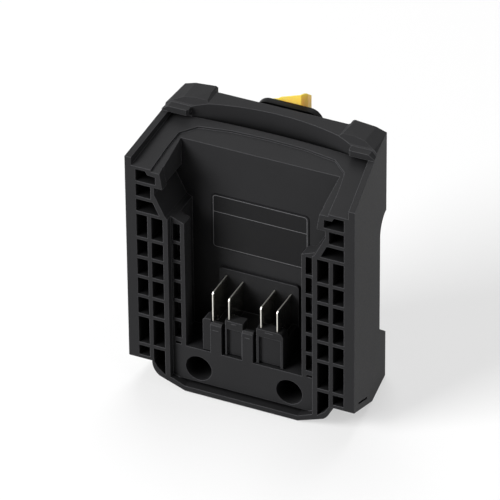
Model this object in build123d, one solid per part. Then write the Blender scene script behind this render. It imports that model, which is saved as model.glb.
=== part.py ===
from build123d import *
import math
import os

os.makedirs("parts", exist_ok=True)

# A tool battery adapter. Its front takes a slide-on battery pack: two ribbed rails,
# a pocket between them and four blade terminals. Its rear goes into the tool, with
# four corner pads and a keyed power plug that stands behind a rounded flange.
# X runs across the rails, Y from the rail faces to the rear, Z up along the rails.
# While modelling, Y is 0 on the rail faces and Z is 0 under the front rail feet.

# Outer body
WIDTH = 95.0
RAIL_TOP = 92.0
REAR = 42.4
MID_REAR = 40.1
TOP_MID = 102.3
FLOOR = -11.4
CHIN_FLOOR = -10.3
SIDE_DRAFT = 0.131
WALL = 2.5

# Sloping deck over the rails, with its raised rim and the latch trough behind it
DECK_START = 88.5
DECK_RISE = 0.275
DECK_END = 29.2
RIM = 2.6
STEP_DROP = 0.9
TROUGH_FLOOR = 84.0
TROUGH_REACH = 33.2
SCOOP_RADIUS = 92.0
SCOOP_DEEPEST = 35.3

# Battery pocket
POCKET_FLOOR = 9.0
POCKET_BACK = 19.0
POCKET_HALF = 32.9
RAIL_GAP_HALF = 24.4
GROOVE_HALF = 28.5
GROOVE_START = 8.4
INNER_FACE = 2.8
INNER_HALF = 30.0
NOTCH_BOTTOM = 67.7
NOTCH_TOP = 81.0
NOTCH_HALF = 35.4

# Rail grid: upright walls and level ribs
RIB = 1.4
OUTER_CELL = (38.5, 43.1)
INNER_CELL = (32.0, 36.9)
SECOND_CELL = (26.1, 29.3)
RIB_LEVELS = (67.7, 56.1, 47.3, 38.3, 29.3, 20.3, 6.7)
CELL_DEPTH = 18.5
SECOND_RIB_LEVELS = (65.5, 56.1, 47.3, 38.3, 29.3, 20.3, 11.5)
SECOND_CELL_DEPTH = 7.0

# Screw wells in the lower shelf
WELL_X = 19.1
WELL_Z = -0.1
WELL_RADIUS = 5.5
WELL_WALL = 1.8
WELL_BOTTOM = 20.0

# Inside room and the rear cover
ROOM_FRONT = 21.5
COVER_INSIDE = 31.8
COVER_BACK = 34.2
COVER_HALF = 39.6
COVER_LOW = -5.2
COVER_HIGH = 58.0
BOX_HALF = 27.6
BOX_HIGH = 80.8
NECK_HALF = 13.2
NECK_LOW = 62.0
NECK_HIGH = 80.0

# Flange and power plug
FLANGE_FRONT = 44.5
FLANGE_BACK = 47.5
FLANGE_HALF = 13.75
FLANGE_LOW = 60.4
FLANGE_HIGH = 100.2
FLANGE_CORNER = 5.4
CRADLE_BACK = 58.0
CRADLE_LEFT = -12.0
CRADLE_RIGHT = 7.7
CRADLE_HIGH = 88.0
PLUG_FRONT = 48.3
PLUG_BACK = 56.3
PLUG_LEFT = -10.0
PLUG_RIGHT = 5.7
PLUG_BASE = 74.0
PLUG_FALL = 0.78
CONTACT_X = (-5.8, 1.4)
CONTACT_Y = 52.3
CONTACT_RADIUS = 1.75

# Terminal block and blades
BLADE_X = (-13.5, -6.7, 6.7, 13.5)
BLADE_NAMES = ("blade_negative", "blade_sense_left", "blade_sense_right", "blade_positive")
BLADE_THICK = 0.8
BLADE_FRONT = 4.3
BLADE_BACK = 17.2
BLADE_TOPS = (36.0, 34.8, 34.8, 34.8)
BLOCK_LEFT = -17.4
BLOCK_RIGHT = 16.2
BLOCK_TOP = 21.0
PAD_TOP = 25.3
TAIL_END = 25.8
UPSTAND_TOP = 38.8
UPSTAND_HALF = 16.6

# Circuit board
BOARD_FRONT = 26.6
BOARD_THICK = 1.6
BOARD_LOW = 22.0
BOARD_HIGH = 55.5
BOARD_HALF = 30.0
BOARD_SCREWS = ((-26.5, 25.5), (26.5, 25.5), (-26.5, 52.0), (26.5, 52.0))
COVER_SCREWS = ((-35.0, 21.0), (35.0, 21.0), (-35.0, 52.0), (35.0, 52.0))
FLANGE_SCREWS = ((-10.6, 66.4), (10.6, 66.4), (10.6, 76.4))

# The finished part stands on its lower face, centred under its overall box
TO_ORIGIN = Pos(0, -CRADLE_BACK / 2, -FLOOR)


def slab(x0, x1, y0, y1, z0, z1):
    """A block given by its two limits on each axis."""
    centre = Pos((x0 + x1) / 2, (y0 + y1) / 2, (z0 + z1) / 2)
    return centre * Box(x1 - x0, y1 - y0, z1 - z0)


def front_prism(face, y0, y1):
    """A face drawn in X and Z, pushed from y0 to y1."""
    plane = Plane(origin=(0, y1, 0), x_dir=(1, 0, 0), z_dir=(0, -1, 0))
    return extrude(plane * face, y1 - y0)


def side_prism(face, x0, x1):
    """A face drawn in Y and Z, pushed from x0 to x1."""
    return extrude(Plane.YZ.offset(x0) * face, x1 - x0)


def plan_prism(face, z0, z1):
    """A face drawn in X and Y, pushed from z0 to z1."""
    return extrude(Plane.XY.offset(z0) * face, z1 - z0)


def outline(*points):
    """A face inside a closed run of straight edges."""
    return make_face(Polyline(*points, close=True))


def rod(x, z, y0, y1, radius):
    """A round bar along Y."""
    plane = Plane(origin=(x, y1, z), x_dir=(1, 0, 0), z_dir=(0, -1, 0))
    return extrude(plane * Circle(radius), y1 - y0)


def both_sides(shape):
    """The shape with its mirror image on the other side of the middle."""
    return shape + mirror(shape, about=Plane.YZ)


def half_width(y):
    """Half the body's width at a depth: the side walls draw in to the rear."""
    return WIDTH / 2 - SIDE_DRAFT * y


def deck_height(y):
    return DECK_START + DECK_RISE * y


def drafted_plan(inset):
    """The body's tapered plan, drawn in by the inset on both sides."""
    front = half_width(-2) - inset
    back = half_width(60) - inset
    return outline((-front, -2), (front, -2), (back, 60), (-back, 60))


def body_side():
    """Side view: sloping top, rear pads, the recess between them and the flat foot."""
    edges = Polyline((24.5, FLOOR), (0, 0), (0, RAIL_TOP), (28, 98.8), (29.6, 101.2),
                     (32.5, 102.9), (REAR, 103.6), (REAR, 66.0))
    edges += ThreePointArc((REAR, 66.0), (36.3, 63.6), (COVER_BACK, 57.6))
    edges += Polyline((COVER_BACK, 57.6), (COVER_BACK, 16.0), (REAR, 9.5), (REAR, FLOOR),
                      (24.5, FLOOR))
    return make_face(edges)


def chin_outline(inset):
    """Front view of the rounded chin between the rail feet, drawn in by the inset."""
    low = CHIN_FLOOR + inset
    toe = 34.6 - 0.8 * inset
    bulge = 36.7 - 0.9 * inset
    side = 37.7 - inset
    edges = Polyline((-23.8, low), (23.8, low), (30.6 - 0.4 * inset, low + 2.5), (toe, low + 4))
    edges += ThreePointArc((toe, low + 4), (bulge, low + 6.3), (side, 0))
    edges += Polyline((side, 0), (side, POCKET_FLOOR), (-side, POCKET_FLOOR), (-side, 0))
    edges += ThreePointArc((-side, 0), (-bulge, low + 6.3), (-toe, low + 4))
    edges += Polyline((-toe, low + 4), (-30.6 + 0.4 * inset, low + 2.5), (-23.8, low))
    return make_face(edges)


def body_block():
    """The outer form, before anything is hollowed out."""
    body = side_prism(body_side(), -WIDTH / 2 - 1, WIDTH / 2 + 1)
    body &= plan_prism(drafted_plan(0), -20, 120)
    body += front_prism(chin_outline(0), 0, 30)
    above_pads = outline((0, TOP_MID), (27.2, TOP_MID), (28.8, 103.3), (37.5, 102.5),
                         (42.2, 101.0), (48.5, 97.2), (48.5, 120), (0, 120))
    body -= both_sides(front_prism(above_pads, 28.0, 60))
    body -= slab(-28, 28, MID_REAR, 60, 60, 120)
    body -= slab(-28, 28, COVER_BACK, 60, -20, 60.1)
    return body


def step_outline():
    """Plan of the shallow step that frames the pocket on the deck."""
    return outline((-36.8, -2), (-35.6, 12), (-34.3, 20.3), (-28.3, 25.2), (-15, 26.9),
                   (0, 27.3), (15, 26.9), (28.3, 25.2), (34.3, 20.3), (35.6, 12), (36.8, -2))


def deck_cut():
    """Everything over the deck: the main slope, and the step that frames the pocket."""
    above = outline((-3, deck_height(-3)), (DECK_END, deck_height(DECK_END)), (DECK_END, 120),
                    (-3, 120))
    cut = side_prism(above, -50, 50) & plan_prism(drafted_plan(RIM), 60, 120)
    lower = outline((-3, deck_height(-3) - STEP_DROP), (30, deck_height(30) - STEP_DROP),
                    (30, 120), (-3, 120))
    return cut + (side_prism(lower, -50, 50) & plan_prism(step_outline(), 60, 120))


def trough_cut():
    """The latch trough behind the deck; its rear wall is one long hollow curve."""
    reach = TROUGH_REACH
    end = SCOOP_DEEPEST - SCOOP_RADIUS + math.sqrt(SCOOP_RADIUS ** 2 - reach ** 2)
    front = ThreePointArc((-reach, DECK_END - 0.4), (0, DECK_END + 1.0), (reach, DECK_END - 0.4))
    sides = Line((reach, DECK_END - 0.4), (reach, end)) + Line((-reach, end), (-reach, DECK_END - 0.4))
    rear = ThreePointArc((reach, end), (0, SCOOP_DEEPEST), (-reach, end))
    trough = plan_prism(make_face(front + sides + rear), TROUGH_FLOOR, 120)
    above = slab(-reach, reach, DECK_END - 0.5, SCOOP_DEEPEST, deck_height(DECK_END), 120)
    bowl = make_face(rear + Polyline((-reach, end), (-reach, 20), (reach, 20), (reach, end)))
    return trough + (above & plan_prism(bowl, 80, 120))


def latch_ledge():
    """One ledge over the end of the trough, which the battery's latch goes under."""
    shape = outline((33.2, 98.2), (33.2, 100.7), (41.6, 100.7), (44.6, 98.6), (44.6, 98.2))
    ledge = front_prism(shape, 25.9, 32.5) & plan_prism(drafted_plan(0), 60, 120)
    return chamfer(ledge.edges().filter_by(Axis.Z).group_by(Axis.X)[0].group_by(Axis.Y)[0], 0.8)


def pocket_cut():
    """The battery pocket with its undercut grooves and the latch notches above them."""
    cut = slab(-POCKET_HALF, POCKET_HALF, 4, POCKET_BACK, 72.5, 99)
    cut += slab(-RAIL_GAP_HALF, RAIL_GAP_HALF, -1, POCKET_BACK, POCKET_FLOOR, 90)
    cut += slab(-GROOVE_HALF, GROOVE_HALF, GROOVE_START, POCKET_BACK, POCKET_FLOOR, 74)
    cut += slab(-INNER_HALF, INNER_HALF, -1, INNER_FACE, POCKET_FLOOR - 1, NOTCH_BOTTOM)
    notch = outline((0, NOTCH_BOTTOM - 2.2), (RAIL_GAP_HALF, NOTCH_BOTTOM - 2.2),
                    (INNER_HALF, NOTCH_BOTTOM), (30.9, 68.4), (NOTCH_HALF, 77.6),
                    (NOTCH_HALF, NOTCH_TOP - 0.3), (0, NOTCH_TOP - 0.3))
    cut += both_sides(front_prism(notch, -1, POCKET_BACK))
    hook = outline((0, NOTCH_TOP - 0.4), (31.9, NOTCH_TOP - 0.4), (33.2, 88.4), (33.2, 95),
                   (0, 95))
    return cut + both_sides(front_prism(hook, -1, 4))


def rail_cells():
    """The open cells of one rail, as solids to take away."""
    cells = []
    for upper, lower in zip(RIB_LEVELS, RIB_LEVELS[1:]):
        for inner, outer in (OUTER_CELL, INNER_CELL):
            cells.append(slab(inner, outer, -1, CELL_DEPTH, lower + RIB / 2, upper - RIB / 2))
    for upper, lower in zip(SECOND_RIB_LEVELS, SECOND_RIB_LEVELS[1:]):
        inner, outer = SECOND_CELL
        cells.append(slab(inner, outer, 0, SECOND_CELL_DEPTH, lower + RIB / 2, upper - RIB / 2))
    cells.append(slab(26.4, 29.0, 0, 6, 9.2, 10.2))
    lowest = RIB_LEVELS[-1] - RIB / 2
    cells.append(slab(*OUTER_CELL, -1, CELL_DEPTH, 1.5, lowest))
    toe = outline((INNER_CELL[0], lowest), (INNER_CELL[1], lowest), (INNER_CELL[1], 0),
                  (35.2, -2.8), (INNER_CELL[0], -5.4))
    cells.append(front_prism(toe, -1, CELL_DEPTH))
    upper = outline((34.8, 82.1), (OUTER_CELL[1], 82.1), (OUTER_CELL[1], 87.3), (38.9, 87.3),
                    (38.2, 85.8), (34.8, 85.6))
    cells.append(front_prism(upper, -1, CELL_DEPTH))
    cells.append(slab(INNER_CELL[1], OUTER_CELL[1], -1, CELL_DEPTH, 75.2, 80.7))
    wedge = outline((33.4, 68.4), (OUTER_CELL[1], 68.4), (OUTER_CELL[1], 73.8), (36.0, 73.8))
    cells.append(front_prism(wedge, -1, CELL_DEPTH))
    return cells


def lower_front_cut():
    """The recessed shelf face and the groove between the shelf and the chin's lip."""
    inside = front_prism(chin_outline(2.2), -1, INNER_FACE)
    inside &= slab(-INNER_HALF, INNER_HALF, -2, 40, -20, POCKET_FLOOR)
    groove = front_prism(chin_outline(2.2), -1, 12)
    return inside + (groove & slab(-29, 29, -2, 40, -20, -6.6))


def cover_outline(gap):
    """Rear view of the cover: narrow between the feet, wide in the recess, then the box."""
    wide = COVER_HALF + gap
    narrow = BOX_HALF + gap
    return outline((-narrow, COVER_LOW - gap), (narrow, COVER_LOW - gap), (narrow, 16.8 - gap),
                   (wide, 16.8 - gap), (wide, 57.0 + gap), (narrow, 57.0 + gap),
                   (narrow, BOX_HIGH + gap), (-narrow, BOX_HIGH + gap), (-narrow, 57.0 + gap),
                   (-wide, 57.0 + gap), (-wide, 16.8 - gap), (-narrow, 16.8 - gap))


def room_cut():
    """The room for the electronics, open at the rear until the cover goes on."""
    room = outline((ROOM_FRONT, -4.5), (26.0, -8.6), (COVER_INSIDE, -8.6), (COVER_INSIDE, 56.0),
                   (ROOM_FRONT, 56.0))
    cut = side_prism(room, -38, 38)
    cut += front_prism(cover_outline(0.2), COVER_INSIDE - 0.1, 50)
    cut += slab(-25.6, 25.6, ROOM_FRONT, 40, 50, 79.0)
    cut += slab(-27, 27, INNER_FACE + WALL, 24, -3.5, POCKET_FLOOR - WALL)
    foot = side_prism(outline((31, -8.6), (38.8, -8.6), (38.8, 7.6), (33.5, 12.6), (31, 12.6)),
                      30.4, 38)
    pad = side_prism(outline((28.5, 55.5), (31.7, 55.5), (31.7, 63.0), (35.5, 67.0),
                             (38.8, 68.6), (38.8, 99.0), (34.0, 99.0), (34.0, 80.0),
                             (28.5, 76.0)), 30.4, 38)
    return cut + both_sides(foot) + both_sides(pad)


def terminal_windows():
    """The two windows that the terminal block's spigots go through, and its screw hole."""
    window = slab(4.4, 15.8, POCKET_BACK - 1, ROOM_FRONT + 1, 10.3, 19.7)
    return both_sides(window) + rod(0, 15.0, POCKET_BACK - 1, ROOM_FRONT + 1, 1.4)


def shelf_finger(x0, x1):
    """A finger that rises from the shelf and holds the terminal block from the front."""
    finger = slab(x0, x1, INNER_FACE, INNER_FACE + 2.2, POCKET_FLOOR - 1, 22.7)
    return chamfer(finger.edges().filter_by(Axis.X).group_by(Axis.Z)[-1].sort_by(Axis.Y)[0], 0.8)


def side_slit():
    """The short slit low on a side wall, in line with the chamfer under the rail."""
    lean = math.degrees(math.atan2(FLOOR, 24.5))
    return Pos(46, 11.7, -2.1) * Rot(lean, 0, 0) * Box(4, 13.0, 1.0)


def front_housing():
    """The moulded main body: rails, pocket, deck, chin, corner pads and screw posts."""
    body = body_block()
    body -= deck_cut()
    body -= pocket_cut()
    body -= trough_cut()
    body += both_sides(latch_ledge())
    body -= room_cut()
    posts = [rod(x, z, ROOM_FRONT - 1, BOARD_FRONT, 3.0) for x, z in BOARD_SCREWS]
    posts += [rod(x, z, ROOM_FRONT - 1, COVER_INSIDE, 3.6) for x, z in COVER_SCREWS]
    posts += [rod(side * WELL_X, WELL_Z, INNER_FACE, 23.5, WELL_RADIUS + WELL_WALL)
              for side in (-1, 1)]
    for post in posts:
        body += post
    body -= lower_front_cut()
    body -= terminal_windows()
    body += shelf_finger(-14.0, -9.4)
    body += shelf_finger(-0.6, 3.8)
    holes = [rod(x, z, ROOM_FRONT + 0.5, BOARD_FRONT + 1, 1.1) for x, z in BOARD_SCREWS]
    holes += [rod(x, z, ROOM_FRONT + 0.5, COVER_INSIDE + 1, 1.5) for x, z in COVER_SCREWS]
    for side in (-1, 1):
        holes.append(rod(side * WELL_X, WELL_Z, 0, WELL_BOTTOM, WELL_RADIUS))
        holes.append(rod(side * WELL_X, WELL_Z, WELL_BOTTOM - 1, 30, 2.2))
    for hole in holes + rail_cells():
        body -= hole
    for cell in rail_cells():
        body -= mirror(cell, about=Plane.YZ)
    body -= both_sides(side_slit())
    return body


def rear_cover():
    """The rear cover: a plate in the recess, a raised box above it and the plug's neck."""
    cover = front_prism(cover_outline(0), COVER_INSIDE, COVER_BACK)
    box = outline((COVER_INSIDE, 52.0), (COVER_BACK, 52.0), (MID_REAR, 57.6),
                  (MID_REAR, BOX_HIGH), (COVER_INSIDE, BOX_HIGH))
    cover += side_prism(box, -BOX_HALF, BOX_HALF)
    cover -= slab(-BOX_HALF + 2.2, BOX_HALF - 2.2, COVER_INSIDE - 1, MID_REAR - 2.2, 59.0,
                  BOX_HIGH - 2.2)
    neck = slab(-NECK_HALF, NECK_HALF, MID_REAR - 1, FLANGE_FRONT, NECK_LOW, NECK_HIGH)
    cover += fillet(neck.edges().filter_by(Axis.Y), 2.0)
    cover -= slab(-7.6, 7.6, MID_REAR - 4, FLANGE_FRONT + 1, NECK_LOW + 2.2, NECK_HIGH - 2.2)
    for side in (-1, 1):
        cover += rod(side * WELL_X, WELL_Z, 23.7, COVER_INSIDE + 1, 3.8)
        cover -= rod(side * WELL_X, WELL_Z, 22, 32.6, 1.8)
    for x, z in COVER_SCREWS:
        cover -= rod(x, z, COVER_INSIDE - 1, COVER_BACK + 1, 1.8)
        cover -= rod(x, z, COVER_BACK - 1.4, COVER_BACK + 1, 3.3)
    for x, z in FLANGE_SCREWS:
        cover -= rod(x, z, FLANGE_FRONT - 6.0, FLANGE_FRONT + 1, 1.1)
    return cover


def plug_flange():
    """The rounded flange on the neck, with the cradle that holds the plug behind it."""
    middle = (FLANGE_LOW + FLANGE_HIGH) / 2
    plate = Pos(0, middle) * RectangleRounded(2 * FLANGE_HALF, FLANGE_HIGH - FLANGE_LOW,
                                              FLANGE_CORNER)
    flange = front_prism(plate, FLANGE_FRONT, FLANGE_BACK)
    cradle = slab(CRADLE_LEFT, CRADLE_RIGHT, FLANGE_BACK - 1, CRADLE_BACK, 63.0, CRADLE_HIGH)
    flange += chamfer(cradle.edges().filter_by(Axis.Z).group_by(Axis.Y)[-1], 1.2)
    flange -= plan_prism(plug_plan(0.1), PLUG_BASE, 120)
    flange -= slab(PLUG_LEFT + 1.4, PLUG_RIGHT - 1.8, PLUG_FRONT, PLUG_BACK - 1.2, 66.0, 76)
    flange -= slab(-7.6, 3.2, FLANGE_FRONT - 1, PLUG_FRONT + 2, 67.4, 73.0)
    for x, z in FLANGE_SCREWS:
        flange -= rod(x, z, FLANGE_FRONT - 1, FLANGE_BACK + 1, 1.4)
        flange -= rod(x, z, FLANGE_BACK, CRADLE_BACK + 2, 2.3)
    return flange


def plug_plan(gap):
    """Plan of the plug: square at one end, and cut off at both corners of the other."""
    left = PLUG_LEFT - gap
    right = PLUG_RIGHT + gap
    front = PLUG_FRONT - gap
    back = PLUG_BACK + gap
    return outline((left, front), (right - 1.8, front), (right, front + 2.4),
                   (right, back - 2.4), (right - 1.8, back), (left, back))


def power_plug():
    """The keyed plug: a crown that falls away to the rear, and two socket holes."""
    crown = outline((-12, PLUG_BASE), (8, PLUG_BASE), (8, 105.3), (5.3, 105.8), (4.7, 105.5),
                    (3.9, 104.6), (3.4, 104.2), (-4.2, 101.5), (-5.6, 100.5), (-12, 98.2))
    plane = Plane(origin=(0, PLUG_FRONT, 0), x_dir=(1, 0, 0), z_dir=(0, -1, 0))
    depth = PLUG_BACK - PLUG_FRONT
    plug = extrude(plane * crown, depth * math.hypot(1, PLUG_FALL), dir=(0, 1, -PLUG_FALL))
    plug &= plan_prism(plug_plan(0), PLUG_BASE, 120)
    for x in CONTACT_X:
        plug -= rod_up(x, CONTACT_Y, PLUG_BASE - 1, 110, CONTACT_RADIUS + 0.45)
    return plug


def rod_up(x, y, z0, z1, radius):
    """A round bar along Z."""
    return extrude(Pos(x, y, z0) * Circle(radius), z1 - z0)


def plug_contact(x):
    """One turned socket contact: a tube with a solder tail below it."""
    tube = rod_up(x, CONTACT_Y, PLUG_BASE, 95.0, CONTACT_RADIUS + 0.45)
    tube -= rod_up(x, CONTACT_Y, 83.0, 96.0, CONTACT_RADIUS)
    return tube + rod_up(x, CONTACT_Y, 67.5, PLUG_BASE, CONTACT_RADIUS)


def blade(x, top):
    """One blade terminal: an upright plate with a solder tail through the pocket's wall."""
    half = BLADE_THICK / 2
    shape = outline((8.2, 12.0), (8.2, PAD_TOP + 0.1), (BLADE_FRONT, PAD_TOP + 0.1),
                    (BLADE_FRONT, top - 0.8), (BLADE_FRONT + 0.6, top),
                    (BLADE_BACK, top), (BLADE_BACK, 16.0), (TAIL_END, 16.0),
                    (TAIL_END, 12.0))
    return side_prism(shape, x - half, x + half)


def terminal_block():
    """The insulator that carries the blades, with front pads and a rear upstand."""
    low = POCKET_FLOOR + 0.4
    block = slab(BLOCK_LEFT, BLOCK_RIGHT, INNER_FACE + WALL, 18.9, POCKET_FLOOR, BLOCK_TOP)
    left = slab(BLOCK_LEFT, -14.1, 3.4, 8, low, 24.0)
    block += chamfer(left.edges().filter_by(Axis.Y).group_by(Axis.Z)[-1].sort_by(Axis.X)[0], 0.9)
    middle = slab(-7.9, -0.7, 3.4, 8, low, PAD_TOP)
    block += middle - slab(-7.3, -1.2, 3, 4.6, 9, 21.6)
    right = slab(5.2, BLOCK_RIGHT, 3.4, 8, low, PAD_TOP)
    right = fillet(right.edges().filter_by(Axis.Y).group_by(Axis.Z)[-1].sort_by(Axis.X)[-1], 1.8)
    block += right - slab(6.1, 15.3, 3, 4.6, 9, 22.0)
    upstand = slab(-UPSTAND_HALF, UPSTAND_HALF, 17.4, 18.9, BLOCK_TOP - 1, UPSTAND_TOP)
    block += fillet(upstand.edges().filter_by(Axis.Y).group_by(Axis.Z)[-1], 1.2)
    block += both_sides(slab(4.6, 15.6, 18.8, ROOM_FRONT + 0.9, 10.5, 19.5))
    for x, top in zip(BLADE_X, BLADE_TOPS):
        block -= blade(x, top)
    return block - rod(0, 15.0, 12.8, 20, 1.1)


def rating_panel():
    """The thin bare panel on the pocket's back wall."""
    panel = Pos(0, 58.9) * RectangleRounded(40.6, 24.8, 1.6)
    return front_prism(panel, POCKET_BACK - 0.3, POCKET_BACK)


def circuit_board():
    """The board that guards the battery, held on four posts."""
    board = slab(-BOARD_HALF, BOARD_HALF, BOARD_FRONT, BOARD_FRONT + BOARD_THICK, BOARD_LOW,
                 BOARD_HIGH)
    board = chamfer(board.edges().filter_by(Axis.Y), 2.0)
    for x, z in BOARD_SCREWS:
        board -= rod(x, z, BOARD_FRONT - 1, BOARD_FRONT + 3, 1.4)
    return board


def power_transistor(x, z):
    """A flat power transistor with a metal tab and three legs, on the board's front."""
    package = slab(x - 5.0, x + 5.0, BOARD_FRONT - 2.4, BOARD_FRONT, z - 4.5, z + 4.5)
    package = chamfer(package.edges().group_by(Axis.Y)[0], 0.4)
    package += slab(x - 4.4, x + 4.4, BOARD_FRONT - 0.8, BOARD_FRONT, z + 4.4, z + 6.0)
    for leg in (-2.5, 0, 2.5):
        package += slab(x + leg - 0.4, x + leg + 0.4, BOARD_FRONT - 0.8, BOARD_FRONT, z - 6.5,
                        z - 4.4)
    return package


def control_chip():
    """A small eight-legged chip."""
    chip = slab(-2.0, 2.0, BOARD_FRONT - 1.6, BOARD_FRONT, 40.0, 45.0)
    chip = chamfer(chip.edges().group_by(Axis.Y)[0], 0.3)
    for step in range(4):
        level = 40.7 + 1.2 * step
        chip += slab(-3.0, 3.0, BOARD_FRONT - 0.6, BOARD_FRONT, level - 0.2, level + 0.2)
    return chip


def capacitor():
    """A round can capacitor that stands over the board, its two leads bent down to it."""
    middle = BOARD_FRONT + BOARD_THICK + 3.3
    can = rod_up(20.0, middle, 60.8, 73.0, 3.2)
    can = chamfer(can.edges().filter_by(GeomType.CIRCLE), 0.5)
    near = BOARD_FRONT + BOARD_THICK + 0.4
    for x in (18.8, 21.2):
        lead = Polyline((x, middle, 61.2), (x, middle, 60.0), (x, near, 57.4), (x, near, 53.0))
        can += sweep(Plane(origin=lead @ 0, z_dir=lead % 0) * Rectangle(0.7, 0.7), path=lead,
                     transition=Transition.RIGHT)
    return can


def fuse():
    """A flat soldered fuse with two end caps."""
    body = slab(-22.0, -12.0, BOARD_FRONT - 3.2, BOARD_FRONT - 0.2, 46.0, 49.4)
    caps = slab(-23.0, -20.6, BOARD_FRONT - 3.6, BOARD_FRONT, 45.7, 49.7)
    caps += slab(-13.4, -11.0, BOARD_FRONT - 3.6, BOARD_FRONT, 45.7, 49.7)
    return body + caps


def current_shunt():
    """A metal strip bridge that the board measures the current across."""
    strip = Polyline((8, 0), (10, 0), (10, 2.6), (18, 2.6), (18, 0), (20, 0))
    face = make_face(offset(strip, 0.45, side=Side.LEFT))
    return extrude(Plane(origin=(0, BOARD_FRONT, 47.0), x_dir=(1, 0, 0), z_dir=(0, 0, 1))
                   * mirror(face, about=Plane.XZ), 4.0)


def wire(points, radii, radius):
    """An insulated wire with eight sides: straight runs joined by round bends."""
    path = FilletPolyline(*points, radius=radii)
    section = Plane(origin=path @ 0, z_dir=path % 0) * RegularPolygon(radius, 8)
    return sweep(section, path=path)


def screw(x, z, head, shank, head_radius, head_height, shank_radius, length):
    """A screw along Y: a bevelled head with a hexagon recess, and a plain shank.

    head is where the underside of the head rests and shank is +1 or -1, the way it points.
    """
    plane = Plane(origin=(x, head, z), x_dir=(1, 0, 0), z_dir=(0, -shank, 0))
    low = plane * RegularPolygon(head_radius, 16)
    top = plane.offset(head_height) * RegularPolygon(head_radius * 0.75, 16)
    cap = loft([low, top], ruled=True)
    recess = plane.offset(head_height * 0.4) * RegularPolygon(head_radius * 0.45, 6)
    cap -= extrude(recess, head_height)
    return cap + extrude(plane * RegularPolygon(shank_radius, 12), -length)


def screws(places, head, shank, sizes):
    """A group of like screws, each its own solid."""
    return Compound(children=[screw(x, z, head, shank, *sizes) for x, z in places])


def wires():
    """The four heavy wires and the two thin sense wires, each whole from end to end."""
    made = {}
    heavy = 1.25
    thin = 0.6
    face = BOARD_FRONT
    back = BOARD_FRONT + BOARD_THICK
    for side, name in ((-1, "wire_battery_negative"), (1, "wire_battery_positive")):
        tail = side * (BLADE_X[3] - BLADE_THICK / 2 - heavy)
        made[name] = wire([(tail, 24.1, 12.2), (tail, 24.1, 19.0), (side * 9.6, 24.1, 24.6),
                           (side * 9.6, 24.1, 29.4), (side * 9.6, face, 29.4)],
                          (5.0, 5.0, 2.2), heavy)
    for side, name in ((-1, "wire_sense_left"), (1, "wire_sense_right")):
        tail = side * (BLADE_X[2] - BLADE_THICK / 2 - thin)
        made[name] = wire([(tail, 24.4, 12.2), (tail, 24.4, 22.0), (side * 3.2, 24.4, 30.0),
                           (side * 3.2, 24.4, 37.0), (side * 3.2, face, 37.0)],
                          (6.0, 6.0, 2.0), thin)
    for name, start, contact in zip(("wire_plug_negative", "wire_plug_positive"),
                                    (-10.8, 10.8), CONTACT_X):
        made[name] = wire([(start, back, 47.0), (start, 30.5, 47.0), (start, 30.5, 61.5),
                           (contact, 36.0, 70.2), (contact, CONTACT_Y - CONTACT_RADIUS, 70.2)],
                          (2.2, 6.0, 5.0), heavy)
    return made


def all_nodes():
    nodes = {"front_housing": front_housing(), "rear_cover": rear_cover(),
             "terminal_block": terminal_block(), "plug_flange": plug_flange(),
             "power_plug": power_plug(), "rating_panel": rating_panel(),
             "circuit_board": circuit_board(), "control_chip": control_chip(),
             "capacitor": capacitor(), "fuse": fuse(), "current_shunt": current_shunt()}
    for name, x, top in zip(BLADE_NAMES, BLADE_X, BLADE_TOPS):
        nodes[name] = blade(x, top)
    for name, x in zip(("contact_negative", "contact_positive"), CONTACT_X):
        nodes[name] = plug_contact(x)
    for name, x in zip(("transistor_left", "transistor_right"), (-12.0, 12.0)):
        nodes[name] = power_transistor(x, 38.0)
    nodes.update(wires())
    nodes["board_screws"] = screws(BOARD_SCREWS, BOARD_FRONT + BOARD_THICK, -1,
                                   (2.5, 1.7, 1.1, 6.0))
    nodes["cover_screws"] = screws(COVER_SCREWS, COVER_BACK - 1.4, -1, (3.1, 1.3, 1.5, 8.5))
    nodes["well_screws"] = screws([(-WELL_X, WELL_Z), (WELL_X, WELL_Z)], WELL_BOTTOM, 1,
                                  (3.6, 2.6, 1.8, 12.0))
    nodes["flange_screws"] = screws(FLANGE_SCREWS, FLANGE_BACK, -1, (2.1, 1.6, 1.1, 8.0))
    nodes["terminal_screw"] = screws([(0, 15.0)], ROOM_FRONT, -1, (2.6, 1.8, 1.1, 8.0))
    return nodes


for node, shape in all_nodes().items():
    export_step(TO_ORIGIN * shape, f"parts/{node}.step")
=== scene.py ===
import bpy
import bmesh
import math
from mathutils import Matrix, Vector


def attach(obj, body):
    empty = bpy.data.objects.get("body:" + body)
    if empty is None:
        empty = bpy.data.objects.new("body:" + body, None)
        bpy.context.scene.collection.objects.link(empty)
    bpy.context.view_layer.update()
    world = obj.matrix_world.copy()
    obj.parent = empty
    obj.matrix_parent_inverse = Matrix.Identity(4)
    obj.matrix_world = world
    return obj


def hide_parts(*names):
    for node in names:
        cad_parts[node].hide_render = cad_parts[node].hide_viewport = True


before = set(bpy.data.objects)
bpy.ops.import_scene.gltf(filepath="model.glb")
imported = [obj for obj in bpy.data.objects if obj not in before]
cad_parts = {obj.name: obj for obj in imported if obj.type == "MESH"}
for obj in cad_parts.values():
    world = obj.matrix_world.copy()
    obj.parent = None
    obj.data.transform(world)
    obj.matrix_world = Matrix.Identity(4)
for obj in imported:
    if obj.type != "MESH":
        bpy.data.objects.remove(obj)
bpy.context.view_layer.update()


# The view. A long lens stands in front of the adapter, to its right and above it. Sizes are
# in millimetres, as in the model: Y is 0 on the rail faces and Z is 0 under the front rail
# feet. TO_PART brings a point from there into the frame.
MM = 0.001
TO_PART = Vector((0, -29.0, 11.4))
TURN, TILT, ROLL = math.radians(25.0), math.radians(34.52), math.radians(-0.54)
ASIDE, ABOVE, AWAY = 3.52, 51.31, 2109
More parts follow.
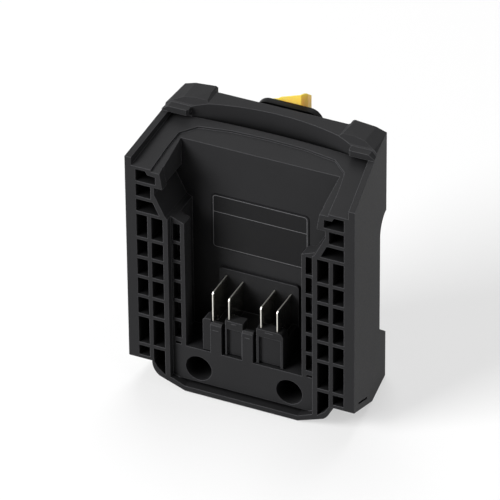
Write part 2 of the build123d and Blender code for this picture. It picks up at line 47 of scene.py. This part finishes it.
FOCAL_PIXELS, PICTURE_PIXELS = 5500, 500

toward = Vector((math.sin(TURN) * math.cos(TILT), -math.cos(TURN) * math.cos(TILT),
                 math.sin(TILT)))
level = Vector((math.cos(TURN), math.sin(TURN), 0))
rise = toward.cross(level)
view_right = level * math.cos(ROLL) + rise * math.sin(ROLL)
view_up = rise * math.cos(ROLL) - level * math.sin(ROLL)
place = (view_right * ASIDE + view_up * ABOVE + toward * AWAY + TO_PART) * MM
lens = bpy.data.cameras.new("photograph's camera")
lens.sensor_width = 36
lens.lens = lens.sensor_width * FOCAL_PIXELS / PICTURE_PIXELS
lens.clip_start = 0.1
lens.clip_end = 20
camera = bpy.data.objects.new("photograph's camera", lens)
bpy.context.scene.collection.objects.link(camera)
axes = Matrix((view_right, view_up, toward)).transposed()
camera.matrix_world = Matrix.Translation(place) @ axes.to_4x4()
bpy.context.scene.camera = camera


# The main body: glass-filled nylon, moulded in a spark-eroded tool, so it is dull and finely
# grained; a painted highlight runs along its edges.
CLOUD_SIZE, EDGE_RADIUS, PAINTED_SHADE_REACH = 18, 0.35, 16


def linear(colour, share=1):
    """One sRGB hex colour as the linear values that a shader takes, times a share."""
    parts = [int(colour[i:i + 2], 16) / 255 for i in (1, 3, 5)]
    return tuple(share * (c / 12.92 if c < 0.04045 else ((c + 0.055) / 1.055) ** 2.4)
                 for c in parts) + (1,)


def node(tree, kind, settings=None, sockets=None):
    """Adds a node: its settings, then its sockets, each a value or another node's output."""
    made = tree.nodes.new(kind)
    for name, value in (settings or {}).items():
        setattr(made, name, value)
    for name, value in (sockets or {}).items():
        if isinstance(value, bpy.types.NodeSocket):
            tree.links.new(value, made.inputs[name])
        else:
            made.inputs[name].default_value = value
    return made


def finish_of(name):
    """An empty material: itself, its tree, its shader and the position on the object."""
    made = bpy.data.materials.new(name)
    made.use_nodes = True
    tree = made.node_tree
    spot = node(tree, "ShaderNodeTexCoord").outputs["Object"]
    return made, tree, tree.nodes["Principled BSDF"], spot


def dress(names, material):
    """Gives a finish to nodes that come from the model as they are."""
    for name in names:
        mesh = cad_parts[name].data
        mesh.materials.clear()
        mesh.materials.append(material)


def grained_plastic(name, colour, edge_highlight_colour, grain_mm, roughness):
    """Moulded plastic: fine grain, faint cloudiness, a painted highlight on its edges and
    painted shade in its hollows.
    """
    made, tree, shader, spot = finish_of(name)
    cloud = node(tree, "ShaderNodeTexNoise",
                 sockets={"Vector": spot, "Scale": 1 / (CLOUD_SIZE * MM), "Detail": 3})
    body = node(tree, "ShaderNodeMix", {"data_type": "RGBA"},
                {"Factor": cloud.outputs["Fac"], "A": linear(colour, 0.9),
                 "B": linear(colour, 1.1)})

    # Painted shade in hollows: the less open the space in front of a spot, the darker its
    # colour.
    openness = node(tree, "ShaderNodeAmbientOcclusion", {"samples": 8},
                    {"Distance": PAINTED_SHADE_REACH * MM})
    depth = node(tree, "ShaderNodeMapRange",
                 sockets={"Value": openness.outputs["AO"], "From Min": 0.15, "From Max": 0.65,
                          "To Min": 0.18, "To Max": 1.0})
    shaded = node(tree, "ShaderNodeVectorMath", {"operation": "SCALE"},
                  {0: body.outputs["Result"], "Scale": depth.outputs["Result"]})

    # Painted highlight: where the rounded normal leaves the true one, the colour turns paler.
    rounded = node(tree, "ShaderNodeBevel", {"samples": 6}, {"Radius": EDGE_RADIUS * MM})
    flat = node(tree, "ShaderNodeNewGeometry")
    same = node(tree, "ShaderNodeVectorMath", {"operation": "DOT_PRODUCT"},
                {0: rounded.outputs["Normal"], 1: flat.outputs["Normal"]})
    edge = node(tree, "ShaderNodeMapRange",
                sockets={"Value": same.outputs["Value"], "From Min": 0.998, "From Max": 0.93})
    edge_highlighted = node(tree, "ShaderNodeMix", {"data_type": "RGBA"},
                {"Factor": edge.outputs["Result"], "A": shaded.outputs["Vector"],
                 "B": linear(edge_highlight_colour)})
    tree.links.new(edge_highlighted.outputs["Result"], shader.inputs["Base Color"])

    grain = node(tree, "ShaderNodeTexNoise",
                 sockets={"Vector": spot, "Scale": 1 / (grain_mm * MM), "Detail": 2})
    relief = node(tree, "ShaderNodeBump",
                  sockets={"Strength": 0.25, "Distance": 0.05 * MM,
                           "Height": grain.outputs["Fac"], "Normal": rounded.outputs["Normal"]})
    tree.links.new(relief.outputs["Normal"], shader.inputs["Normal"])
    sheen = node(tree, "ShaderNodeMapRange",
                 sockets={"Value": grain.outputs["Fac"], "To Min": roughness - 0.06,
                          "To Max": roughness + 0.08})
    tree.links.new(sheen.outputs["Result"], shader.inputs["Roughness"])
    shader.inputs["IOR"].default_value = 1.52
    shader.inputs["Specular IOR Level"].default_value = 0.05
    return made


housing_nylon = grained_plastic("glass-filled nylon, spark-grained", "#252526", "#49494b", 0.7,
                                0.5)
dress(["front_housing"], housing_nylon)


# The rear cover and the flange on its neck: the same nylon from a smoother tool, so they
# are a shade darker and catch the light a little more. The front 1.2 mm of the 3 mm flange
# are near-black painted shade, for the shadow on the flange's front face, against its paler rim.
PAINTED_SHADE_BACK = 45.7

cover_nylon = grained_plastic("nylon, smooth-moulded", "#0d0d0e", "#2a2a2c", 1.1, 0.42)
dress(["rear_cover"], cover_nylon)

flange_nylon = grained_plastic("nylon flange, front painted in shade", "#131314", "#3a3a3c", 1.1, 0.42)
flange_tree = flange_nylon.node_tree
flange_colour = flange_tree.nodes["Principled BSDF"].inputs["Base Color"]
flange_spot = node(flange_tree, "ShaderNodeTexCoord")
flange_depth = node(flange_tree, "ShaderNodeSeparateXYZ",
                    sockets={0: flange_spot.outputs["Object"]})
# Painted shade: the flange's front 1.2 mm turn near-black.
in_painted_shade = node(flange_tree, "ShaderNodeMath", {"operation": "LESS_THAN"},
                 {0: flange_depth.outputs["Y"], 1: (PAINTED_SHADE_BACK + TO_PART.y) * MM})
flange_with_painted_shade = node(flange_tree, "ShaderNodeMix", {"data_type": "RGBA"},
                     {"Factor": in_painted_shade.outputs["Value"],
                      "A": flange_colour.links[0].from_socket, "B": linear("#050505")})
flange_tree.links.new(flange_with_painted_shade.outputs["Result"], flange_colour)
dress(["plug_flange"], flange_nylon)


# The terminal block: a separate insulator of black PBT, which is denser and duller than
# the nylon round it. Four short ribs guide the pack's terminals: two stand on this block
# and two on the housing's fingers beside it, all drawn as one piece in the block's finish.
RIB_DEEP, RIB_HIGH, RIB_ROUNDING, RIB_SUNK = 0.5, 0.4, 0.12, 0.1

terminal_pbt = grained_plastic("PBT insulator", "#232324", "#464648", 0.6, 0.5)
dress(["terminal_block"], terminal_pbt)


def finished(work, name, material):
    """The object that a bmesh drawn in millimetres makes."""
    bmesh.ops.scale(work, vec=(MM, MM, MM), verts=work.verts)
    mesh = bpy.data.meshes.new(name)
    work.to_mesh(mesh)
    work.free()
    mesh.materials.append(material)
    made = bpy.data.objects.new(name, mesh)
    bpy.context.scene.collection.objects.link(made)
    return made


rib_work = bmesh.new()
for x_mid, z_mid, front, wide in ((-11.7, 19.6, 2.8, 2.6), (-4.3, 24.3, 3.4, 2.4),
                                  (1.6, 20.0, 2.8, 2.2), (10.4, 24.3, 3.4, 3.4)):
    centre = Vector((x_mid, front + RIB_SUNK, z_mid)) + TO_PART
    bmesh.ops.create_cube(rib_work, size=1.0, matrix=Matrix.Translation(centre)
                          @ Matrix.Diagonal((wide, RIB_DEEP, RIB_HIGH, 1.0)))
bmesh.ops.bevel(rib_work, geom=rib_work.edges[:], offset=RIB_ROUNDING, segments=2,
                affect="EDGES")
ribs = finished(rib_work, "terminal_guide_ribs", terminal_pbt)
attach(ribs, "root")


# The blades: copper strip, nickel-plated and rolled. Their stamped front edges are bright,
# and the rolling leaves faint lines along them.
BLADE_FRONT, BLADE_BACK, FOOT_BACK = 4.3, 17.2, 8.2
TAIL_LOW, TAIL_HIGH, TAIL_END = 12.0, 16.0, 25.8
HALF_COINED, HALF_THICK = 0.21, 0.4
COIN_DEEP, COIN_HIGH = 1.0, 0.7
CORNER_DEEP, CORNER_HIGH, FLANK_CORNER_DEEP, FLANK_CORNER_HIGH = 0.6, 0.8, 0.3, 0.4


def rolled_metal(name, colour, roughness, line_mm, along, edge_roughness=0):
    """Bare metal with faint lines along one axis. Sheared edges, facing front or up, may be
    duller than the rolled sides."""
    made, tree, shader, spot = finish_of(name)
    stretch = [1.0, 1.0, 1.0]
    stretch["XYZ".index(along)] = 0.04
    lie = node(tree, "ShaderNodeMapping", sockets={"Vector": spot, "Scale": stretch})
    lines = node(tree, "ShaderNodeTexNoise",
                 sockets={"Vector": lie.outputs["Vector"], "Scale": 1 / (line_mm * MM),
                          "Detail": 3})
    tint = node(tree, "ShaderNodeMix", {"data_type": "RGBA"},
                {"Factor": lines.outputs["Fac"], "A": linear(colour, 0.86),
                 "B": linear(colour)})
    tree.links.new(tint.outputs["Result"], shader.inputs["Base Color"])
    rough = node(tree, "ShaderNodeMapRange",
                 sockets={"Value": lines.outputs["Fac"], "To Min": roughness - 0.08,
                          "To Max": roughness + 0.1})
    if edge_roughness:
        flat = node(tree, "ShaderNodeNewGeometry")
        facing = node(tree, "ShaderNodeSeparateXYZ", sockets={0: flat.outputs["True Normal"]})
        sideways = node(tree, "ShaderNodeMath", {"operation": "ABSOLUTE"},
                        {0: facing.outputs["X"]})
        rough = node(tree, "ShaderNodeMapRange",
                     sockets={"Value": sideways.outputs["Value"], "From Min": 0.5,
                              "From Max": 0.6, "To Min": edge_roughness,
                              "To Max": rough.outputs["Result"]})
    tree.links.new(rough.outputs["Result"], shader.inputs["Roughness"])
    scratch = node(tree, "ShaderNodeBump",
                   sockets={"Strength": 0.2, "Distance": 0.02 * MM,
                            "Height": lines.outputs["Fac"]})
    tree.links.new(scratch.outputs["Normal"], shader.inputs["Normal"])
    shader.inputs["Metallic"].default_value = 1
    return made


nickel = rolled_metal("nickel-plated copper strip", "#dedcd4", 0.2, 0.5, "Z", 0.5)
dress(["current_shunt"], nickel)


def coined_blade(name, stands_for, x_mid, foot, top):
    """One blade, its front and top edges pressed thinner so that they find the pack's slots."""
    work = bmesh.new()
    flank_front, flank_top = BLADE_FRONT + COIN_DEEP, top - COIN_HIGH
    sides = []
    for side in (-1, 1):
        edge = [work.verts.new(Vector((x_mid + side * HALF_COINED, y, z)) + TO_PART)
                for y, z in ((BLADE_FRONT, foot), (BLADE_FRONT, top - CORNER_HIGH),
                             (BLADE_FRONT + CORNER_DEEP, top), (BLADE_BACK, top))]
        flank = [work.verts.new(Vector((x_mid + side * HALF_THICK, y, z)) + TO_PART)
                 for y, z in ((flank_front, foot), (flank_front, flank_top - FLANK_CORNER_HIGH),
                              (flank_front + FLANK_CORNER_DEEP, flank_top),
                              (BLADE_BACK, flank_top), (BLADE_BACK, TAIL_HIGH),
                              (TAIL_END, TAIL_HIGH), (TAIL_END, TAIL_LOW),
                              (FOOT_BACK, TAIL_LOW), (FOOT_BACK, foot))]
        work.faces.new(flank)
        for k in range(3):
            work.faces.new((edge[k], edge[k + 1], flank[k + 1], flank[k]))
        sides.append(edge + flank[3:] + flank[:1])
    left, right = sides
    for k in range(len(left)):
        j = (k + 1) % len(left)
        work.faces.new((left[k], left[j], right[j], right[k]))
    bmesh.ops.recalc_face_normals(work, faces=work.faces)
    bmesh.ops.triangulate(work, faces=[face for face in work.faces if len(face.verts) > 4])
    made = finished(work, name, nickel)
    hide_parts(stands_for)
    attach(made, "root")


coined_blade("negative_blade", "blade_negative", -13.5, 22.8, 36.0)
coined_blade("left_sense_blade", "blade_sense_left", -6.7, 25.4, 34.8)
coined_blade("right_sense_blade", "blade_sense_right", 6.7, 25.4, 34.8)
coined_blade("positive_blade", "blade_positive", 13.5, 25.4, 34.8)


# The rating panel: a thin polycarbonate film, left without any words. It has a printed
# border and one plain rule, as such films have. The print stands just off the film's face.
PANEL_FACE, PANEL_MIDDLE, PRINT_LIFT, LINE_WIDE = 18.7, 58.9, 0.02, 0.25
BORDER_HALF_WIDE, BORDER_HALF_HIGH, BORDER_CORNER = 19.7, 11.8, 1.3
RULE_HALF_WIDE, RULE_LOW = 19.5, 63.1


def two_tone(name, deep, pale, speck_mm, detail, roughness):
    """A smooth finish of two close colours: the parts of finish_of and its soft specks."""
    made, tree, shader, spot = finish_of(name)
    specks = node(tree, "ShaderNodeTexNoise",
                  sockets={"Vector": spot, "Scale": 1 / (speck_mm * MM), "Detail": detail})
    tint = node(tree, "ShaderNodeMix", {"data_type": "RGBA"},
                {"Factor": specks.outputs["Fac"], "A": linear(deep), "B": linear(pale)})
    tree.links.new(tint.outputs["Result"], shader.inputs["Base Color"])
    shader.inputs["Roughness"].default_value = roughness
    return made, tree, shader, spot, specks.outputs["Fac"]


film, film_tree, film_shader, _, haze = two_tone(
    "polycarbonate film, velvet side out", "#111112", "#151516", 0.5, 2, 0.42)
film_bump = node(film_tree, "ShaderNodeBump",
                 sockets={"Strength": 0.15, "Distance": 0.02 * MM, "Height": haze})
film_tree.links.new(film_bump.outputs["Normal"], film_shader.inputs["Normal"])
film_shader.inputs["Specular IOR Level"].default_value = 0.12
dress(["rating_panel"], film)

ink = two_tone("screen-printed grey ink", "#4c4c4e", "#5c5c5e", 0.3, 2, 0.6)[0]


def rounded_ring(half_wide, half_high, corner, steps=6):
    """Points round a rectangle with round corners, in X and Z."""
    ring = []
    for cx, cz, first in ((1, 1, 0), (-1, 1, 90), (-1, -1, 180), (1, -1, 270)):
        for i in range(steps + 1):
            a = math.radians(first + 90 * i / steps)
            ring.append((cx * (half_wide - corner) + corner * math.cos(a),
                         cz * (half_high - corner) + corner * math.sin(a)))
    return ring


print_work = bmesh.new()
print_y = PANEL_FACE - PRINT_LIFT
outer, inner = [
    [print_work.verts.new(Vector((x, print_y, z + PANEL_MIDDLE)) + TO_PART)
     for x, z in rounded_ring(BORDER_HALF_WIDE - inset, BORDER_HALF_HIGH - inset,
                              BORDER_CORNER - inset)]
    for inset in (0, LINE_WIDE)]
for i in range(len(outer)):
    j = (i + 1) % len(outer)
    print_work.faces.new((outer[i], outer[j], inner[j], inner[i]))
print_work.faces.new([print_work.verts.new(Vector((x, print_y, z)) + TO_PART)
                      for x, z in ((-RULE_HALF_WIDE, RULE_LOW), (RULE_HALF_WIDE, RULE_LOW),
                                   (RULE_HALF_WIDE, RULE_LOW + LINE_WIDE),
                                   (-RULE_HALF_WIDE, RULE_LOW + LINE_WIDE))])
bmesh.ops.recalc_face_normals(print_work, faces=print_work.faces)
for face in print_work.faces:
    if face.normal.y > 0:
        face.normal_flip()
panel_print = finished(print_work, "rating_panel_print", ink)
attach(panel_print, "root")


# The power plug: amber nylon, as such plugs are, a little waxy and lightly cloudy. Its two
# turned contacts are brass under a thin gold plating.
amber, amber_tree, amber_shader, amber_spot, _ = two_tone(
    "amber nylon, moulded", "#f8c352", "#ffcf68", 4, 3, 0.42)
amber_rounded = node(amber_tree, "ShaderNodeBevel", {"samples": 6}, {"Radius": 0.3 * MM})
amber_grain = node(amber_tree, "ShaderNodeTexNoise",
                   sockets={"Vector": amber_spot, "Scale": 1 / (0.6 * MM)})
amber_bump = node(amber_tree, "ShaderNodeBump",
                  sockets={"Strength": 0.12, "Distance": 0.03 * MM,
                           "Height": amber_grain.outputs["Fac"],
                           "Normal": amber_rounded.outputs["Normal"]})
amber_tree.links.new(amber_bump.outputs["Normal"], amber_shader.inputs["Normal"])
amber_shader.inputs["Subsurface Weight"].default_value = 0.8
amber_shader.inputs["Subsurface Radius"].default_value = (1.0, 0.7, 0.25)
amber_shader.inputs["Subsurface Scale"].default_value = 5 * MM
dress(["power_plug"], amber)

gold_plate = rolled_metal("gold-plated brass, turned", "#e0b45a", 0.25, 0.4, "X")
dress(["contact_negative", "contact_positive"], gold_plate)


# The circuit board and what is soldered to it: green glass-epoxy with copper runs under
# the mask, black epoxy packages, an aluminium can and a ceramic fuse.
mask_board, board_tree, board_shader, board_spot = finish_of("glass-epoxy under solder mask")
board_turn = node(board_tree, "ShaderNodeMapping",
                  sockets={"Vector": board_spot, "Rotation": (math.radians(90), 0, 0)})
board_runs = node(board_tree, "ShaderNodeTexBrick", {"offset": 0.35, "squash": 1.0},
                  {"Vector": board_turn.outputs["Vector"], "Scale": 1.0,
                   "Color1": linear("#1d5a38"), "Color2": linear("#1a5233"),
                   "Mortar": linear("#2b7a4c"), "Mortar Size": 0.35 * MM,
                   "Brick Width": 9 * MM, "Row Height": 2.4 * MM})
board_tree.links.new(board_runs.outputs["Color"], board_shader.inputs["Base Color"])
board_shader.inputs["Roughness"].default_value = 0.3
dress(["circuit_board"], mask_board)

epoxy = grained_plastic("black epoxy package", "#1c1c1e", "#333336", 0.4, 0.5)
dress(["control_chip", "transistor_left", "transistor_right"], epoxy)
can_metal = rolled_metal("drawn aluminium can", "#b9bbc0", 0.32, 0.5, "Z")
dress(["capacitor"], can_metal)
ceramic = grained_plastic("glazed ceramic", "#c9c3b4", "#dcd8cc", 0.9, 0.35)
dress(["fuse"], ceramic)


# The wires: fine copper strands in silicone rubber, soft and dull, red and black for the
# current and pale for the two sense leads.
# The second colour of each rubber is the painted highlight along its edges.
for rubber_name, colour, rubber_edge_highlight, wires in (
        ("red silicone rubber", "#a01818", "#b53030",
         ("wire_battery_positive", "wire_plug_positive")),
        ("black silicone rubber", "#1b1b1c", "#2c2c2e",
         ("wire_battery_negative", "wire_plug_negative")),
        ("pale silicone rubber", "#c8c8c2", "#d6d6d0", ("wire_sense_left", "wire_sense_right"))):
    dress(wires, grained_plastic(rubber_name, colour, rubber_edge_highlight, 0.5, 0.6))


# The screws: steel, turned and rolled, blackened against rust. Each has a low domed head
# with a cross recess, and all the groups come from one tree, which draws the screw with a
# radius, a head and a shank of 1 and then sizes it.
CROSS_LONG, CROSS_WIDE = 1.15, 0.26

screw_steel = rolled_metal("blackened steel", "#4c4c50", 0.38, 0.3, "Y")

screw_tree = bpy.data.node_groups.new("domed screws on points", "GeometryNodeTree")
screw_tree.interface.new_socket("Geometry", in_out="INPUT", socket_type="NodeSocketGeometry")
for size_name in ("Head radius", "Head height", "Shank radius", "Length", "Turn"):
    screw_tree.interface.new_socket(size_name, in_out="INPUT", socket_type="NodeSocketFloat")
screw_tree.interface.new_socket("Finish", in_out="INPUT", socket_type="NodeSocketMaterial")
screw_tree.interface.new_socket("Geometry", in_out="OUTPUT", socket_type="NodeSocketGeometry")
given = node(screw_tree, "NodeGroupInput").outputs

rim = node(screw_tree, "GeometryNodeMeshCylinder",
           sockets={"Vertices": 36, "Radius": 1.0, "Depth": 0.5})
placed_rim = node(screw_tree, "GeometryNodeTransform",
                  sockets={"Geometry": rim.outputs["Mesh"], "Translation": (0, 0, 0.25)})
ball = node(screw_tree, "GeometryNodeMeshUVSphere",
            sockets={"Segments": 36, "Rings": 18, "Radius": 1.0})
dome = node(screw_tree, "GeometryNodeTransform",
            sockets={"Geometry": ball.outputs["Mesh"], "Translation": (0, 0, 0.5),
                     "Scale": (1, 1, 0.5)})
head = node(screw_tree, "GeometryNodeMeshBoolean", {"operation": "UNION"})
for piece in (placed_rim, dome):
    screw_tree.links.new(piece.outputs["Geometry"], head.inputs["Mesh 2"])
recessed = node(screw_tree, "GeometryNodeMeshBoolean", {"operation": "DIFFERENCE"},
                {"Mesh 1": head.outputs["Mesh"]})
for bar_size in ((CROSS_LONG, CROSS_WIDE, 1.0), (CROSS_WIDE, CROSS_LONG, 1.0)):
    bar = node(screw_tree, "GeometryNodeMeshCube", sockets={"Size": bar_size})
    placed_bar = node(screw_tree, "GeometryNodeTransform",
                      sockets={"Geometry": bar.outputs["Mesh"], "Translation": (0, 0, 1)})
    screw_tree.links.new(placed_bar.outputs["Geometry"], recessed.inputs["Mesh 2"])
head_size = node(screw_tree, "ShaderNodeCombineXYZ",
                 sockets={"X": given["Head radius"], "Y": given["Head radius"],
                          "Z": given["Head height"]})
sized_head = node(screw_tree, "GeometryNodeTransform",
                  sockets={"Geometry": recessed.outputs["Mesh"],
                           "Scale": head_size.outputs["Vector"]})

shank = node(screw_tree, "GeometryNodeMeshCylinder",
             sockets={"Vertices": 24, "Radius": 1.0, "Depth": 1.0})
placed_shank = node(screw_tree, "GeometryNodeTransform",
                    sockets={"Geometry": shank.outputs["Mesh"], "Translation": (0, 0, -0.49)})
shank_size = node(screw_tree, "ShaderNodeCombineXYZ",
                  sockets={"X": given["Shank radius"], "Y": given["Shank radius"],
                           "Z": given["Length"]})
sized_shank = node(screw_tree, "GeometryNodeTransform",
                   sockets={"Geometry": placed_shank.outputs["Geometry"],
                            "Scale": shank_size.outputs["Vector"]})
screw = node(screw_tree, "GeometryNodeMeshBoolean", {"operation": "UNION"})
for piece in (sized_head, sized_shank):
    screw_tree.links.new(piece.outputs["Geometry"], screw.inputs["Mesh 2"])

heading = node(screw_tree, "ShaderNodeCombineXYZ", sockets={"X": given["Turn"]})
set_on = node(screw_tree, "GeometryNodeInstanceOnPoints",
              sockets={"Points": given["Geometry"], "Instance": screw.outputs["Mesh"],
                       "Rotation": heading.outputs["Vector"]})
real = node(screw_tree, "GeometryNodeRealizeInstances",
            sockets={"Geometry": set_on.outputs["Instances"]})
dressed = node(screw_tree, "GeometryNodeSetMaterial",
               sockets={"Geometry": real.outputs["Geometry"], "Material": given["Finish"]})
node(screw_tree, "NodeGroupOutput", sockets={"Geometry": dressed.outputs["Geometry"]})


def screw_group(name, stands_for, seats, depth, into, head, shank):
    """Like screws on their seats. into is +1 where they point to the rear, -1 forward; head
    and shank are each a radius and a length."""
    points = bpy.data.meshes.new(name)
    points.from_pydata([(Vector((x, depth, z)) + TO_PART) * MM for x, z in seats], [], [])
    start = bpy.data.objects.new(name + "_points", points)
    bpy.context.scene.collection.objects.link(start)
    grown = start.modifiers.new("screws", "NODES")
    grown.node_group = screw_tree
    sizes = {"Head radius": head[0] * MM, "Head height": head[1] * MM,
             "Shank radius": shank[0] * MM, "Length": shank[1] * MM,
             "Turn": math.radians(90 * into), "Finish": screw_steel}
    for item in screw_tree.interface.items_tree:
        if item.in_out == "INPUT" and item.name in sizes:
            grown[item.identifier] = sizes[item.name]
    bpy.context.view_layer.update()
    settled = start.evaluated_get(bpy.context.evaluated_depsgraph_get())
    mesh = bpy.data.meshes.new_from_object(settled)
    bpy.data.objects.remove(start)
    made = bpy.data.objects.new(name, mesh)
    bpy.context.scene.collection.objects.link(made)
    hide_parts(stands_for)
    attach(made, "root")


screw_group("screws_in_wells", "well_screws", [(-19.1, -0.1), (19.1, -0.1)],
            20.0, 1, head=(3.6, 2.6), shank=(1.8, 12.0))
screw_group("screws_in_cover", "cover_screws", [(-35, 21), (35, 21), (-35, 52), (35, 52)],
            32.8, -1, head=(3.1, 1.3), shank=(1.5, 8.5))
screw_group("screws_in_flange", "flange_screws", [(-10.6, 66.4), (10.6, 66.4), (10.6, 76.4)],
            47.5, -1, head=(2.1, 1.6), shank=(1.1, 8.0))
screw_group("screws_in_board", "board_screws",
            [(-26.5, 25.5), (26.5, 25.5), (-26.5, 52), (26.5, 52)],
            28.2, -1, head=(2.5, 1.7), shank=(1.1, 6.0))
screw_group("screw_in_terminal_block", "terminal_screw", [(0, 15)],
            21.5, -1, head=(2.6, 1.8), shank=(1.1, 8.0))


# The stage: a pale floor that the camera sees as white, with the adapter's own shadow on
# it, and soft studio light from the front left, from above and behind, and from the right.
FLOOR_REACH, FLOOR_LIFT, WORLD_LIGHT = 4, 0.52, 0.06
LAMP_AWAY, LAMP_AIM = 2.6, 0.05


def showing(tree):
    """1 for rays that show a background: from the camera, off metal or through glass."""
    paths = node(tree, "ShaderNodeLightPath")
    direct = node(tree, "ShaderNodeMath", {"operation": "MAXIMUM"},
                  {0: paths.outputs["Is Camera Ray"], 1: paths.outputs["Is Glossy Ray"]})
    shown = node(tree, "ShaderNodeMath", {"operation": "MAXIMUM"},
                 {0: direct.outputs["Value"], 1: paths.outputs["Is Transmission Ray"]})
    return shown.outputs["Value"]


floor_mesh = bpy.data.meshes.new("floor")
floor_mesh.from_pydata([(x * FLOOR_REACH, y * FLOOR_REACH, 0)
                        for x, y in ((-1, -1), (1, -1), (1, 1), (-1, 1))], [], [(0, 1, 2, 3)])
floor = bpy.data.objects.new("floor", floor_mesh)
bpy.context.scene.collection.objects.link(floor)
paper, paper_tree, paper_shader, _ = finish_of("white paper sweep")
paper_shader.inputs["Base Color"].default_value = linear("#a4a4a4")
paper_shader.inputs["Roughness"].default_value = 0.9
lift = node(paper_tree, "ShaderNodeMath", {"operation": "MULTIPLY"},
            {0: showing(paper_tree), 1: FLOOR_LIFT})
glow = node(paper_tree, "ShaderNodeEmission", sockets={"Strength": lift.outputs["Value"]})
both = node(paper_tree, "ShaderNodeAddShader",
            sockets={0: paper_shader.outputs["BSDF"], 1: glow.outputs["Emission"]})
paper_tree.links.new(both.outputs["Shader"],
                     paper_tree.nodes["Material Output"].inputs["Surface"])
floor_mesh.materials.append(paper)

world = bpy.data.worlds.new("studio")
bpy.context.scene.world = world
world.use_nodes = True
air = world.node_tree
strength = node(air, "ShaderNodeMapRange",
                sockets={"Value": showing(air), "To Min": WORLD_LIGHT, "To Max": 1.0})
air.nodes["Background"].inputs["Color"].default_value = (1, 1, 1, 1)
air.links.new(strength.outputs["Result"], air.nodes["Background"].inputs["Strength"])

for lamp_name, side_of, power, size in (("front softbox", (-0.55, -0.70, 0.48), 110, 1.4),
                                        ("top softbox", (-0.15, 0.50, 1.00), 35, 1.6),
                                        ("right softbox", (0.95, -0.10, 0.30), 18, 1.6)):
    lamp = bpy.data.lights.new(lamp_name, "AREA")
    lamp.energy = power
    lamp.size = size
    holder = bpy.data.objects.new(lamp_name, lamp)
    holder.location = Vector(side_of).normalized() * LAMP_AWAY + Vector((0, 0, LAMP_AIM))
    holder.rotation_euler = Vector(side_of).to_track_quat("Z", "Y").to_euler()
    bpy.context.scene.collection.objects.link(holder)

bpy.context.scene.view_settings.view_transform = "Standard"
